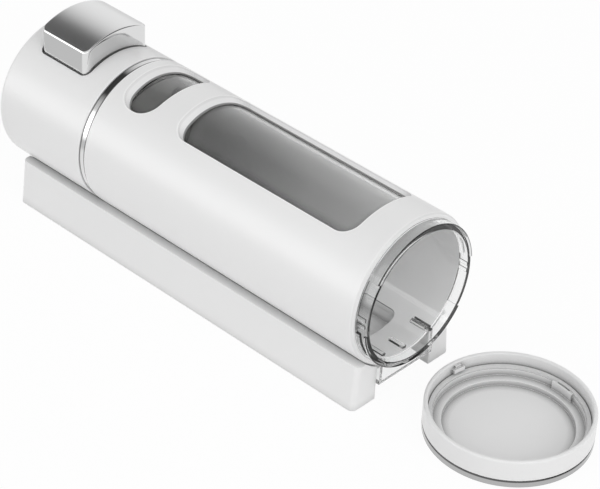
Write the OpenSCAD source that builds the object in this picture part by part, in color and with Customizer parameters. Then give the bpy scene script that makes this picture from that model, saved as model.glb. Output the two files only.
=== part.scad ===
// Push-button soap dispenser on its wall bracket, lying on its back with the filling lid taken off.
// X runs along the dispenser from the pump head to the filling mouth, Y across it, Z away from the wall.
// The origin is the middle of the bracket's back face.

/* [Body] */
// Outer diameter of the shell and of the pump head
body_d = 70; // [66:0.5:74]
// Length of the shell
shell_len = 160.5; // [150:0.5:180]
// Wall of the shell and of the pump head
shell_wall = 2.6; // [2.2:0.1:3]
// Height of the dispenser's axis above the wall
axis_z = 48; // [47:0.5:52]
// Rounding of the shell's and the head's outer edges
edge_r = 1.2; // [0.6:0.1:1.8]

/* [Windows] */
// Half of the angle that each window takes round the shell
window_half_angle = 37; // [30:0.5:40]
// Length of the long window
long_window_len = 105.8; // [80:0.5:110]
// Corner radius of the long window
long_window_r = 7.5; // [4:0.5:10]
// Length of the short window beside the head
short_window_len = 21.2; // [16:0.2:24]
// Corner radius of the short window
short_window_r = 8.2; // [4:0.2:9]
// Shell left between the mouth and the long window
window_margin = 15.6; // [12:0.2:20]
// Shell left between the two windows
window_bridge = 12.7; // [8:0.1:14]
// How far each window's head end slopes in through the wall
window_scoop = 4; // [1:0.5:6]
// How far a window's ends bow outwards in the middle
window_bow = 1.4; // [0:0.1:2]

/* [Tank] */
// Wall of the tank
tank_wall = 1.8; // [1.4:0.1:2.2]
// Thickness of the tank's end wall
tank_end_t = 2.2; // [1.6:0.1:3]
// Length of the rim that stands out of the shell
rim_len = 5.7; // [4.5:0.1:7]
// Wall of the rim
rim_wall = 2.6; // [2.2:0.1:2.6]
// Depth of the bayonet tracks in the rim
track_depth = 1.2; // [0.8:0.1:1.4]
// Angle that each open track takes round the rim
track_angle = 43; // [30:1:50]
// Angle that each closed groove runs on behind the lip
groove_angle = 22; // [16:1:28]
// Outer diameter of the outlet neck
neck_d = 13.8; // [12:0.2:14.6]
// Bore of the outlet neck
neck_bore_d = 9; // [6:0.2:10]
// Gap between the tank's end and the chassis, filled by its screw posts
tank_setback = 5.5; // [4:0.1:7]

/* [Keel] */
// Width of the keel under the shell
keel_w = 33; // [28:0.5:36]
// Height of the keel's underside above the wall
keel_z = 8; // [7.5:0.1:9]
// Wall of the keel
keel_wall = 1.5; // [1.2:0.1:2]
// How far the tank's clear nose stands out past the shell's mouth
keel_nose = 1.5; // [0.5:0.1:2.5]
// How far the nose reaches back into the shell
nose_len = 8.6; // [7:0.2:12]
// Corner radius of the openings over the hooks
pocket_r = 4; // [2:0.5:5]

/* [Bracket] */
// Length of the bracket
bracket_len = 210; // [205:1:215]
// Width of the bracket on the wall
bracket_w = 61.3; // [58:0.1:66]
// Width of the bracket across its ledges
ledge_w = 56.9; // [54:0.1:60]
// Height of the ledges above the wall
ledge_z = 21.8; // [20:0.1:23]
// Wall of the bracket's flanges
flange_wall = 2.2; // [1.8:0.1:2.6]
// Thickness of the web between the flanges
web_t = 2.6; // [2:0.1:3]
// Length of the notch in the web at the mouth end
web_notch = 12; // [8:0.5:14]
// Ribs' thickness inside the flanges
rib_t = 1.8; // [1.4:0.1:2.4]
// Number of hollow cells in each flange
cells = 7; // [5:1:9]
// Radius of the flanges' upright corners
bracket_corner_r = 2.8; // [1.5:0.1:4]
// Diameter of the two wall screw holes
screw_hole_d = 4.5; // [4:0.1:5]
// Distance between the two wall screw holes
screw_spacing = 120; // [110:1:130]
// Distance from the mouth end to the nearer hook
hook_margin = 21; // [18:0.5:26]
// Distance between the two hooks
hook_spacing = 112; // [100:1:118]
// Travel that frees the keel from the hooks
hook_travel = 12; // [11:0.5:13]
// Width of a hook's stem
stem_w = 4.4; // [3.6:0.1:5]
// Length of a hook's stem and head
hook_len = 8.4; // [7:0.1:9]
// Width of a hook's head
hook_w = 10; // [8:0.1:11]
// Thickness of a hook's head
hook_t = 1.8; // [1.4:0.1:2.2]

/* [Pump head] */
// Length of the pump head
head_len = 53.5; // [50:0.5:58]
// Width of the chrome trim ring
ring_w = 3.6; // [2:0.1:4.4]
// How far the trim ring lies below the shell
ring_inset = 0.5; // [0.2:0.1:0.8]
// Thickness of the chassis plate
chassis_t = 3.3; // [2.8:0.1:4]
// Depth of the chassis skirt inside the head
skirt_len = 6; // [4:0.5:8]
// Diameter of the posts that the head is screwed to
post_d = 8; // [7:0.5:8.5]
// Distance of each post from the middle
post_y = 21.5; // [20:0.5:22]
// Distance of each post below the axis
post_drop = 16; // [14:0.5:17]

/* [Button] */
// Length of the button along the head
button_len = 30; // [28:0.2:31]
// Width of the button across the head
button_w = 37; // [34:0.5:37.5]
// Corner radius of the button
button_r = 3; // [2.4:0.1:5]
// Wall of the button
button_wall = 1.6; // [1.3:0.1:1.8]
// Height of the button's crown above the head
button_rise = 10.5; // [9.8:0.1:12]
// How much the button's top arches
button_crown = 4.8; // [3:0.1:5.2]
// Distance from the head's end to the button
button_margin = 10.8; // [9:0.1:13]
// Travel of the button
travel = 8; // [5:0.5:8]
// Gap round the button
button_gap = 0.8; // [0.4:0.1:0.8]

/* [Pump] */
// Outer diameter of the pump barrel
barrel_d = 24; // [22.6:0.2:24.6]
// Bore of the pump barrel
bore_d = 19; // [17:0.2:19.4]
// Distance from the axis down to the barrel's underside
pump_drop = 17; // [15:0.5:18]
// Floor of the pump barrel
floor_t = 3; // [2:0.1:3.5]
// Diameter of the barrel's two ports
port_d = 4; // [3:0.2:4.4]
// Height of the piston
piston_h = 6; // [5:0.2:7]
// Diameter of the plunger rod
rod_d = 8; // [7:0.2:8.4]
// Height of the gland's flange
gland_t = 3; // [2.4:0.2:4]
// Wire diameter of the return spring
wire_d = 1.2; // [0.8:0.1:1.3]
// Mean diameter of the return spring
spring_d = 15; // [14.4:0.1:16]
// Turns of the return spring
spring_turns = 7; // [5:1:8]
// Outer diameter of the nozzle tip
tip_d = 8; // [7:0.2:9]
// Bore of the nozzle tip
tip_bore_d = 3.6; // [2.5:0.1:4.5]
// How far the nozzle tip stands out of the head
tip_out = 3; // [1:0.5:5]

/* [Lid] */
// Outer diameter of the lid
lid_d = 71.6; // [69:0.2:73]
// Height of the lid
lid_h = 13.4; // [12:0.1:15]
// Wall of the lid's skirt
lid_wall = 1.9; // [1.6:0.1:2.1]
// Thickness of the lid's disc
lid_disc_t = 1.2; // [1:0.1:2]
// Width of the lid's gasket
gasket_w = 1.7; // [1.4:0.1:2.2]
// Height of the chrome band round the lid
band_h = 3.4; // [2.4:0.1:4]
// Distance from the bracket's end to the lid's centre
lid_dx = 51.5; // [50:0.5:60]
// Distance from the dispenser's axis to the lid's centre
lid_y = 8.4; // [0:0.2:14]

/* [Hidden] */
// Clearances
slip_gap = 0.3;      // a part that slides in once and stays
run_gap = 0.05;      // radial gap of a piston, a rod or a screw shank
keel_gap = 0.4;      // keel to flange, and hook to keel
cradle_gap = 0.35;   // shell to the bracket's hollow
overrun = 1;         // how far a cut runs past the face it opens
land = 0.4;          // thin flat left at an edge
$fn = 96;

// Places along the dispenser
mouth_x = bracket_len / 2;
shell_x0 = mouth_x - shell_len;
ring_x0 = shell_x0 - ring_w;
head_x0 = ring_x0 - head_len;
rim_x1 = mouth_x + rim_len;
tank_x0 = shell_x0 + tank_setback;
chassis_x0 = shell_x0 - chassis_t;

// Radii about the dispenser's axis
body_r = body_d / 2;
shell_ir = body_r - shell_wall;
tank_r = shell_ir - slip_gap;
tank_ir = tank_r - tank_wall;
rim_r = tank_ir + rim_wall;
track_r = rim_r - track_depth;

// Windows: lengths round the shell are written at its outer radius
window_steps = 12;
end_steps = 5;
window_half_arc = body_r * window_half_angle * PI / 180;
long_window_x = mouth_x - window_margin - long_window_len / 2;
short_window_x = long_window_x - long_window_len / 2 - window_bridge - short_window_len / 2;

// Rim: angles are measured from the top towards +Y
rim_gap = slip_gap;
lip_t = 1.1;
lug_t = 1.7;
track_start = -98;
detent_h = 0.5;
detent_angle = 3;
detent_step = 6;

// Ribs on the tank's floor, just inside the mouth
floor_rib_w = 2.2;
floor_rib_h = 1.2;
floor_rib_len = 8;
floor_rib_step = 26;
floor_rib_turn = floor_rib_w / 2 / tank_ir * 180 / PI;

// Tank screws
tank_screws = 3;
tank_screw_r = 24;
tank_post_d = 6.6;
small_screw_d = 2.6;
small_head_d = 5;
small_head_h = 1.8;
small_screw_depth = 4.6;
recess_depth_share = 0.6;
recess_width_share = 0.22;
recess_length_share = 0.64;

// Outlet neck and its seal
port_lift = 4;
port_z = axis_z - pump_drop + floor_t + port_lift;
neck_len = 16;
neck_x0 = tank_x0 - neck_len;
neck_hole_d = neck_d + 3 * slip_gap;
seal_wire = 1.4;
seal_r = neck_d / 2 + slip_gap - run_gap - seal_wire / 2;
seal_back = 3;
seal_x = chassis_x0 - seal_back;
seal_groove = seal_wire + slip_gap;
groove_r = seal_r - seal_wire / 2 - run_gap;
socket_r = neck_d / 2 + slip_gap;
socket_wall = 2.1;

// Keel and hooks
keel_half = keel_w / 2;
channel_half = keel_half + keel_gap;
keel_x1 = mouth_x - nose_len - slip_gap;
keel_top_z = axis_z - sqrt(pow(shell_ir, 2) - pow(keel_half, 2)) - shell_wall / 2;
nose_x1 = mouth_x + keel_nose;
nose_top_z = axis_z - sqrt(pow(tank_r, 2) - pow(keel_half, 2)) + slip_gap;
pocket_len = hook_travel + hook_len + 2 * keel_gap;
pocket_half = keel_half - keel_wall - land;
strip_half = keel_half - keel_wall - keel_gap;
hook_x = [mouth_x - hook_margin - hook_spacing, mouth_x - hook_margin];
hook_top_z = keel_z + keel_wall + keel_gap + hook_t;
sink_share = 1.7;
sink_d = sink_share * screw_hole_d;
sink_depth = (sink_d - screw_hole_d) / 2;
boss_d = sink_d + 2 * flange_wall;
boss_h = 0.8;
cell_len = (bracket_len - 2 * flange_wall - (cells - 1) * rib_t) / cells;
side_slope = (bracket_w - ledge_w) / 2 / ledge_z;
cradle_r = body_r + cradle_gap;

// Button
button_x = head_x0 + button_margin + button_len / 2;
button_top_z = axis_z + body_r + button_rise;
button_edge_z = button_top_z - button_crown;
crown_r = (pow(button_w / 2, 2) + pow(button_crown, 2)) / (2 * button_crown);
button_lip = 1.2;
button_lip_t = 1.6;
button_lip_gap = 0.4;
lip_half = button_w / 2 + button_lip;
lip_z1 = axis_z + sqrt(pow(shell_ir, 2) - pow(lip_half, 2)) - button_lip_gap;
seat_wall = 0.9;
seat_r = (spring_d + wire_d) / 2 + seat_wall;
roof_r = crown_r - button_wall;
roof_z = button_top_z - crown_r + sqrt(pow(roof_r, 2) - pow(seat_r, 2)) - land;

// Pump, from its floor up
barrel_z0 = axis_z - pump_drop;
chamber_z0 = barrel_z0 + floor_t;
piston_gap = 0.5;
piston_z0 = port_z + port_d / 2 + travel + piston_gap;
piston_z1 = piston_z0 + piston_h;
gland_z0 = piston_z1 + piston_gap;
plug_len = 3;
gland_z1 = gland_z0 + plug_len;
gland_top = gland_z1 + gland_t;
rod_boss_wall = 1.8;
rod_boss_len = 5;
wiper_t = 1.4;
wiper_wall = 1.6;
seal_t = 3;
seal_lip = 0.8;
seal_gap = 0.4;
piston_r = bore_d / 2 - seal_gap;
seal_depth = 1.6;
seal_z0 = piston_z0 + (piston_h - seal_t) / 2;

// Inlet and outlet sockets of the barrel
inlet_x0 = button_x + barrel_d / 2;
flange_t = 2;
flange_half_y = 15.5;
flange_half_z = 10;
flange_r = 4;
pump_screw_y = 12.2;
valve_t = 1.5;
beak_len = 4;
beak_w = 0.9;
valve_bore_share = 0.5;
outlet_len = 6;
outlet_wall = 1.7;
outlet_r = 5;
outlet_x1 = button_x - barrel_d / 2;
outlet_x0 = outlet_x1 - outlet_len;
plug_x1 = outlet_x1 - valve_t - slip_gap;
collar_t = 1.6;
inlet_seat_share = 0.82;
inlet_beak_share = 0.55;
outlet_beak_share = 0.58;
tip_pocket_share = 0.68;
slit_w = 0.3;
pump_boss_d = 6;
pump_boss_len = 4;
tip_hole_gap = 0.5;

// Head screws
head_screw_d = 3;
head_screw_head_d = 5.8;
head_screw_head_h = 2.2;
head_screw_depth = 8;
screw_end_gap = 0.5;
head_boss_h = 2.4;
head_floor_t = 1.8;
head_round = 2;
skirt_wall = 1.8;
post_x0 = head_x0 + shell_wall + head_boss_h;
ring_edge = 0.5;
tank_round = 3;
rim_round = 0.3;

// Lid, from its closed face up
lid_r = lid_d / 2;
lid_ir = lid_r - lid_wall;
lid_x = mouth_x + lid_dx;
band_t = 1.1;
band_groove = 0.3;
band_r = lid_r - band_t;
lid_round = 0.8;
gasket_t = 1.2;
gasket_ir = lid_ir - slip_gap - gasket_w;
lid_seat_z = lid_h - rim_len - gasket_t + rim_gap;
lid_step_share = 0.92;
lid_step_r = lid_step_share * tank_ir;
lid_step_h = 2.5;
lid_step_z = lid_disc_t + lid_step_h;
lug_gap = 0.25;
lug_angle = 10;
lug_r = track_r + slip_gap;
lug_z = lid_h - rim_len + rim_gap + lip_t + lug_gap;
lug_at = [171, 351];
nub_w = 3;
nub_h = 4;
nub_drop = 1.2;
nub_z1 = lid_h - nub_drop;
nub_r = rim_r + 2 * run_gap;

// Blocks on the lid's step that centre the rim, each with a slot behind it
stand_at = [83.5, 263.5];
stand_angle = 21;
stand_t = 1;
stand_r = gasket_ir - slip_gap - stand_t;
stand_z = lid_seat_z + gasket_t - slip_gap;
root_w = 0.7;
root_depth = 1.2;
root_angle = 13;

// Helpers

// Stands a shape that is drawn along +Z on the dispenser's axis, pointing along +X from x
module on_axis(x = 0) { translate([x, 0, axis_z]) rotate([0, 90, 0]) children(); }

// Revolves an outline of [radius, x] points about the dispenser's axis
module spun(points) { on_axis() rotate_extrude() polygon(points); }

// A round bar along +X, centred on y and z
module bar_x(x0, x1, r, y = 0, z = axis_z) {
    translate([x0, y, z]) rotate([0, 90, 0]) cylinder(h = x1 - x0, r = r);
}

// A block given by its two corners
module block(low, high) { translate(low) cube(high - low); }

// Extrudes a profile of [y, z] points along X
module run_x(x0, x1) { translate([x0, 0, 0]) rotate([90, 0, 90]) linear_extrude(x1 - x0) children(); }

// A rectangle with round corners, centred
module round_rect(length, width, r) {
    square([length - 2 * r, width], center = true);
    square([length, width - 2 * r], center = true);
    for (sx = [-1, 1], sy = [-1, 1])
        translate([sx * (length / 2 - r), sy * (width / 2 - r)]) circle(r);
}

// A quarter round of points about a centre, from one angle to another
function arc(centre, r, from, to, steps = 6) =
    [for (i = [0:steps]) let (a = from + (to - from) * i / steps) centre + r * [cos(a), sin(a)]];

// A sector of a ring round the axis, between two angles from the top towards +Y
module ring_sector(x0, x1, r0, r1, from, to) {
    on_axis(x0) rotate([0, 0, 180 - to]) rotate_extrude(angle = to - from)
        translate([r0, 0]) square([r1 - r0, x1 - x0]);
}

// A pan-head screw along +X with a cross recess, its head's underside at x
module screw(x, y, z, shank_d, shank_len, head_d, head_h) {
    difference() {
        union() {
            bar_x(x, x + shank_len, shank_d / 2, y, z);
            bar_x(x - head_h, x, head_d / 2, y, z);
        }
        for (turn = [0, 90])
            translate([x - head_h, y, z]) rotate([turn, 0, 0])
                cube([2 * recess_depth_share * head_h, recess_length_share * head_d,
                    recess_width_share * head_d], center = true);
    }
}

// One half of a window's outline as [x, arc, slope share]: round corners, and ends that bow out
function window_half(half_len, half_arc, r) =
    let (cx = half_len - window_bow - r, cs = half_arc - r,
        ends = [for (k = [0:end_steps - 1]) cs * (k + 0.5) / end_steps],
        bow = function (s) window_bow * (1 - pow(s / half_arc, 2)))
    concat(
        [for (s = ends) [cx + r + bow(s), s, 0]],
        [for (i = [0:window_steps]) let (a = 90 * i / window_steps, s = cs + r * sin(a))
            [cx + r * cos(a) + bow(s), s, 0]],
        [for (i = [0:window_steps]) let (a = 90 + 90 * i / window_steps, s = cs + r * sin(a))
            [r * cos(a) - cx - bow(s), s, -cos(a)]],
        [for (k = [end_steps - 1:-1:0]) [-cx - r - bow(ends[k]), ends[k], 1]]);

// The whole outline: the half, and its mirror image backwards
function window_outline(half) =
    concat(half, [for (i = [len(half) - 1:-1:0]) [half[i][0], -half[i][1], half[i][2]]]);

// Turns an outline point into a point at radius r, with the head end sloping in
function window_point(p, x0, r) =
    let (turn = p[1] / body_r * 180 / PI, slope = window_scoop * (body_r - r) / shell_wall)
    [x0 + p[0] + p[2] * slope, r * sin(turn), axis_z + r * cos(turn)];

// The solid that cuts one window through the shell, with walls that point at the axis
module window_cut(x0, length, r) {
    outline = window_outline(window_half(length / 2, window_half_arc, r));
    n = len(outline);
    rings = [shell_ir - shell_wall, body_r / cos(window_half_angle) + shell_wall];
    points = [for (ring = rings, p = outline) window_point(p, x0, ring)];
    sides = [for (i = [0:n - 1]) let (j = (i + 1) % n)
        each [[i, n + i, n + j], [i, n + j, j]]];
    caps = [for (i = [1:n / 2 - 1]) let (a = i - 1, b = i, c = n - 1 - i, d = n - i)
        each [[a, b, c], [a, c, d], [n + a, n + d, n + c], [n + a, n + c, n + b]]];
    polyhedron(points, concat(sides, caps), convexity = 4);
}

// Sub-parts of the bracket

// One hollow cell's profile inside the flange on the +Y side
module cell_profile() {
    top = ledge_z - flange_wall;
    out = bracket_w / 2 - flange_wall;
    difference() {
        polygon([[channel_half + flange_wall, -overrun], [out + side_slope * overrun, -overrun],
            [out - side_slope * top, top], [channel_half + flange_wall, top]]);
        translate([0, axis_z]) circle(cradle_r + flange_wall);
    }
}

// A hook: a stem on the web with a wider head that holds the keel's floor down
module hook(x) {
    block([x - hook_len / 2, -stem_w / 2, 0], [x + hook_len / 2, stem_w / 2, hook_top_z]);
    block([x - hook_len / 2, -hook_w / 2, hook_top_z - hook_t], [x + hook_len / 2, hook_w / 2, hook_top_z]);
}

module wall_bracket() color("white") {
    difference() {
        union() {
            difference() {
                hull() {
                    linear_extrude(land) round_rect(bracket_len, bracket_w, bracket_corner_r, $fn = 32);
                    translate([0, 0, ledge_z - land]) linear_extrude(land)
                        round_rect(bracket_len, ledge_w, bracket_corner_r, $fn = 32);
                }
                bar_x(-mouth_x - overrun, mouth_x + overrun, cradle_r);
                block([-mouth_x - overrun, -channel_half, web_t],
                    [mouth_x + overrun, channel_half, ledge_z + overrun]);
            }
            for (sx = [-1, 1]) translate([sx * screw_spacing / 2, 0, 0])
                cylinder(h = web_t + boss_h, r = boss_d / 2);
        }
        block([mouth_x - web_notch, -channel_half, -overrun],
            [mouth_x + overrun, channel_half, web_t + overrun]);
        for (sx = [-1, 1]) translate([sx * screw_spacing / 2, 0, 0]) {
            translate([0, 0, -overrun]) cylinder(h = web_t + boss_h + 2 * overrun, r = screw_hole_d / 2);
            translate([0, 0, web_t + boss_h - sink_depth])
                cylinder(h = sink_depth, r1 = screw_hole_d / 2, r2 = sink_d / 2);
        }
        for (side = [0, 1], i = [0:cells - 1])
            let (x0 = flange_wall - mouth_x + i * (cell_len + rib_t))
            mirror([0, side, 0]) run_x(x0, x0 + cell_len) cell_profile();
    }
    for (x = hook_x) hook(x);
}

// Sub-parts of the body

// A keel under the barrel: a floor and two walls that reach up to z1
module keel(x0, x1, z1) {
    block([x0, -keel_half, keel_z], [x1, keel_half, keel_z + keel_wall]);
    for (side = [0, 1]) mirror([0, side, 0])
        block([x0, keel_half - keel_wall, keel_z], [x1, keel_half, z1]);
}

// The slots in the keel's floor: a wide mouth for each hook's head, then a narrow lock for its stem
module keel_slots() {
    for (x = hook_x) {
        block([x - hook_travel - hook_len / 2, -stem_w / 2 - keel_gap, keel_z - overrun],
            [x + hook_len / 2 + slip_gap, stem_w / 2 + keel_gap, keel_z + keel_wall + overrun]);
        block([x - hook_travel - hook_len / 2 - keel_gap, -hook_w / 2 - keel_gap, keel_z - overrun],
            [x - hook_travel + hook_len / 2 + keel_gap, hook_w / 2 + keel_gap,
            keel_z + keel_wall + overrun]);
    }
}

module outer_shell() color("white") difference() {
    union() {
        spun(concat(
            [[shell_ir, shell_x0]],
            arc([body_r - ring_edge, shell_x0 + ring_edge], ring_edge, -90, 0),
            arc([body_r - edge_r, mouth_x - edge_r], edge_r, 0, 90),
            [[shell_ir, mouth_x]]));
        keel(tank_x0, keel_x1, keel_top_z);
    }
    keel_slots();
    for (x = hook_x) translate([x - hook_travel / 2, 0, keel_z + 2 * keel_wall])
        linear_extrude(axis_z - tank_r / 2 - keel_z) round_rect(pocket_len, 2 * pocket_half, pocket_r);
    for (side = [0, 1]) mirror([0, side, 0])
        block([keel_x1, strip_half, axis_z - body_r - overrun],
            [mouth_x + overrun, channel_half, axis_z - tank_r / 2]);
    window_cut(long_window_x, long_window_len, long_window_r);
    window_cut(short_window_x, short_window_len, short_window_r);
}

// Centres of the posts that take the tank's screws, as [y, z]
function tank_post(i) = let (turn = 180 + 360 * i / tank_screws)
    [tank_screw_r * sin(turn), axis_z + tank_screw_r * cos(turn)];

// The tank's outer form: barrel, rim, clear keel nose, neck and screw posts
module tank_solid() {
    spun(concat(
        [[0, tank_x0]],
        arc([tank_r - tank_round, tank_x0 + tank_round], tank_round, -90, 0),
        [[tank_r, mouth_x + rim_gap], [rim_r, mouth_x + rim_gap]],
        arc([rim_r - rim_round, rim_x1 - rim_round], rim_round, 0, 90),
        [[0, rim_x1]]));
    keel(mouth_x - nose_len, nose_x1, nose_top_z);
    bar_x(neck_x0, tank_x0 + tank_end_t, neck_d / 2, 0, port_z);
    for (i = [0:tank_screws - 1]) let (p = tank_post(i))
        bar_x(shell_x0, tank_x0 + tank_end_t, tank_post_d / 2, p[0], p[1]);
}

module tank() color("silver", 0.5) {
    difference() {
        tank_solid();
        spun(concat(
            [[0, tank_x0 + tank_end_t]],
            arc([tank_ir - tank_round, tank_x0 + tank_end_t + tank_round], tank_round, -90, 0),
            [[tank_ir, rim_x1 + overrun], [0, rim_x1 + overrun]]));
        bar_x(neck_x0 - overrun, tank_x0 + tank_end_t + overrun, neck_bore_d / 2, 0, port_z);
        translate([seal_x - seal_groove / 2, 0, port_z]) rotate([0, 90, 0]) difference() {
            cylinder(h = seal_groove, r = neck_d);
            translate([0, 0, -overrun]) cylinder(h = seal_groove + 2 * overrun, r = groove_r);
        }
        for (i = [0:tank_screws - 1]) let (p = tank_post(i))
            bar_x(shell_x0 - overrun, tank_x0, small_screw_d / 2 + run_gap, p[0], p[1]);
        for (half = [0, 180]) {
            ring_sector(mouth_x + rim_gap, rim_x1 + overrun, track_r, rim_r + overrun,
                half + track_start, half + track_start + track_angle);
            ring_sector(rim_x1 - lip_t - lug_t - 2 * lug_gap, rim_x1 - lip_t, track_r, rim_r + overrun,
                half + track_start - groove_angle, half + track_start + detent_angle);
        }
    }
    for (half = [0, 180], k = [1, 2]) let (a = half + track_start + k * detent_step)
        ring_sector(mouth_x + rim_gap, rim_x1 - lip_t, track_r - detent_h, track_r + detent_h,
            a, a + detent_angle);
    for (k = [-1:1]) let (a = 180 + k * floor_rib_step)
        ring_sector(mouth_x - floor_rib_len, mouth_x,
            tank_ir - floor_rib_h, tank_ir + floor_rib_h, a - floor_rib_turn, a + floor_rib_turn);
}

module trim_ring() color("gainsboro") spun([
    [shell_ir, ring_x0], [body_r - ring_inset - ring_edge, ring_x0],
    [body_r - ring_inset, ring_x0 + ring_edge], [body_r - ring_inset, shell_x0 - ring_edge],
    [body_r - ring_inset - ring_edge, shell_x0], [shell_ir, shell_x0]]);

module chassis() color("lightgray") difference() {
    union() {
        bar_x(chassis_x0, shell_x0, tank_r);
        spun([[tank_r - skirt_wall, chassis_x0 - skirt_len], [tank_r, chassis_x0 - skirt_len],
            [tank_r, shell_x0], [tank_r - skirt_wall, shell_x0]]);
        for (sy = [-1, 1]) {
            bar_x(post_x0, shell_x0, post_d / 2, sy * post_y, axis_z - post_drop);
            bar_x(chassis_x0, shell_x0 + pump_boss_len, pump_boss_d / 2, sy * pump_screw_y, port_z);
        }
    }
    bar_x(chassis_x0 - overrun, shell_x0 + overrun, neck_hole_d / 2, 0, port_z);
    for (i = [0:tank_screws - 1]) let (p = tank_post(i))
        bar_x(chassis_x0 - overrun, shell_x0 + overrun, small_screw_d / 2 + slip_gap, p[0], p[1]);
    for (sy = [-1, 1]) {
        bar_x(post_x0 - overrun, post_x0 + head_screw_depth, head_screw_d / 2 + run_gap,
            sy * post_y, axis_z - post_drop);
        bar_x(chassis_x0 - overrun, shell_x0 + pump_boss_len - land, small_screw_d / 2 + run_gap,
            sy * pump_screw_y, port_z);
    }
}

module chassis_screws() color("gray")
    for (i = [0:tank_screws - 1]) let (p = tank_post(i))
        screw(chassis_x0, p[0], p[1], small_screw_d, chassis_t + small_screw_depth,
            small_head_d, small_head_h);

// Sub-parts of the pump head

module head_housing() color("white") difference() {
    union() {
        spun(concat(
            [[0, head_x0]],
            arc([body_r - head_round, head_x0 + head_round], head_round, -90, 0),
            arc([body_r - ring_edge, ring_x0 - ring_edge], ring_edge, 0, 90),
            [[shell_ir, ring_x0], [shell_ir, head_x0 + shell_wall], [0, head_x0 + shell_wall]]));
        for (sy = [-1, 1])
            bar_x(head_x0 + head_round, post_x0, post_d / 2, sy * post_y, axis_z - post_drop);
    }
    translate([button_x, 0, axis_z]) linear_extrude(body_r + overrun)
        round_rect(button_len + 2 * button_gap, button_w + 2 * button_gap, button_r + button_gap);
    bar_x(head_x0 - overrun, head_x0 + shell_wall + overrun, tip_d / 2 + tip_hole_gap, 0, port_z);
    for (sy = [-1, 1]) {
        bar_x(head_x0 - overrun, post_x0 + overrun, head_screw_d / 2 + slip_gap,
            sy * post_y, axis_z - post_drop);
        bar_x(head_x0 - overrun, post_x0 - head_floor_t, head_screw_head_d / 2 + slip_gap,
            sy * post_y, axis_z - post_drop);
    }
}

module head_screws() color("gray")
    for (sy = [-1, 1])
        screw(post_x0 - head_floor_t, sy * post_y, axis_z - post_drop, head_screw_d,
            head_floor_t + head_screw_depth - screw_end_gap, head_screw_head_d, head_screw_head_h);

module pump_barrel() color("whitesmoke") difference() {
    union() {
        translate([button_x, 0, barrel_z0]) cylinder(h = gland_z1 - barrel_z0, r = barrel_d / 2);
        bar_x(button_x, chassis_x0, socket_r + socket_wall, 0, port_z);
        bar_x(outlet_x0, button_x, outlet_r + outlet_wall, 0, port_z);
        translate([chassis_x0 - flange_t, 0, port_z]) rotate([0, 90, 0]) linear_extrude(flange_t)
            round_rect(2 * flange_half_z, 2 * flange_half_y, flange_r);
    }
    translate([button_x, 0, chamber_z0]) cylinder(h = gland_z1 - chamber_z0 + overrun, r = bore_d / 2);
    bar_x(neck_x0 - slip_gap - valve_t, chassis_x0 + overrun, socket_r, 0, port_z);
    bar_x(inlet_x0, chassis_x0, inlet_seat_share * socket_r, 0, port_z);
    bar_x(outlet_x0 - overrun, outlet_x1, outlet_r, 0, port_z);
    bar_x(outlet_x1 - overrun, inlet_x0 + overrun, port_d / 2, 0, port_z);
    for (sy = [-1, 1])
        bar_x(chassis_x0 - flange_t - overrun, chassis_x0 + overrun, small_screw_d / 2 + slip_gap,
            sy * pump_screw_y, port_z);
}

module pump_screws() color("gray")
    for (sy = [-1, 1])
        screw(chassis_x0 - flange_t, sy * pump_screw_y, port_z, small_screw_d,
            chassis_t + pump_boss_len, small_head_d, small_head_h);

// A ring about the button's axis, between two heights
module button_ring(z0, z1, r0, r1) {
    translate([button_x, 0, 0]) rotate_extrude() polygon([[r0, z0], [r1, z0], [r1, z1], [r0, z1]]);
}

module pump_gland() color("lightgray") difference() {
    union() {
        button_ring(gland_z0, gland_top, 0, bore_d / 2 - run_gap);
        button_ring(gland_z1, gland_top, 0, barrel_d / 2);
    }
    button_ring(gland_z0 - overrun, gland_top + overrun, 0, rod_d / 2 + run_gap);
    button_ring(gland_top - wiper_t, gland_top + overrun, 0, rod_d / 2 + wiper_wall);
}

module rod_wiper() color("dimgray")
    button_ring(gland_top - wiper_t, gland_top, rod_d / 2 + run_gap, rod_d / 2 + wiper_wall - run_gap);

module neck_seal() color("dimgray")
    translate([seal_x, 0, port_z]) rotate([0, 90, 0]) rotate_extrude()
        translate([seal_r, 0]) circle(seal_wire / 2, $fn = 32);

// A duckbill valve along -X: a disc that seats in its socket, and a beak that closes to a slit
module duckbill(x, disc_r, beak_r) {
    translate([x, 0, port_z]) rotate([0, -90, 0]) difference() {
        union() {
            cylinder(h = valve_t, r = disc_r);
            hull() {
                cylinder(h = valve_t, r = beak_r, $fn = 32);
                translate([0, 0, valve_t + beak_len - land])
                    linear_extrude(land) square([beak_w, 2 * beak_r - beak_w], center = true);
            }
        }
        hull() {
            translate([0, 0, -overrun]) cylinder(h = overrun, r = valve_bore_share * beak_r, $fn = 32);
            translate([0, 0, valve_t + beak_len])
                linear_extrude(overrun) square([slit_w, 2 * valve_bore_share * beak_r], center = true);
        }
    }
}

module inlet_valve() color("mistyrose")
    duckbill(neck_x0 - slip_gap, socket_r - run_gap, inlet_beak_share * socket_r);

module outlet_valve() color("mistyrose")
    duckbill(outlet_x1, outlet_r - run_gap, outlet_beak_share * outlet_r);

module nozzle() color("white") difference() {
    union() {
        bar_x(outlet_x0, plug_x1, outlet_r - run_gap, 0, port_z);
        bar_x(outlet_x0 - collar_t, outlet_x0, outlet_r + outlet_wall, 0, port_z);
        bar_x(head_x0 - tip_out, outlet_x0, tip_d / 2, 0, port_z);
    }
    bar_x(head_x0 - tip_out - overrun, plug_x1 + overrun, tip_bore_d / 2, 0, port_z);
    bar_x(outlet_x1 - valve_t - beak_len - slip_gap, plug_x1 + overrun, tip_pocket_share * outlet_r,
        0, port_z);
}

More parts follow.
